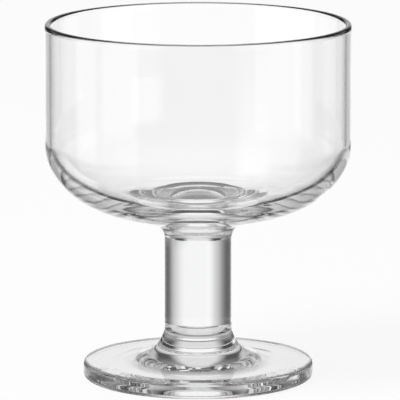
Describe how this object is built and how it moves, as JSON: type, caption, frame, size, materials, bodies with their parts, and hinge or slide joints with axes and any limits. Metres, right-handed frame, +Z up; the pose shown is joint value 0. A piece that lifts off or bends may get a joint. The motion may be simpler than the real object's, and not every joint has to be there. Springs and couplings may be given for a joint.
{
  "type": "dessert glass",
  "caption": "Footed dessert glass of clear glass: wide straight-walled bowl with a rounded bottom on a thick solid stem and a round disc foot",
  "frame": {"origin": "on the surface that the glass stands on, at the centre of the foot", "axes": "+Z runs up the axis of the glass from the foot to the rim; the glass is round, so X and Y are interchangeable"},
  "size_m": [0.098, 0.098, 0.1147],
  "materials": {
    "clear_glass": "clear, colourless, fire-polished soda-lime glass"
  },
  "bodies": {
    "root": {"bowl": "clear_glass", "stem": "clear_glass", "foot": "clear_glass"}
  },
  "joints": []
}
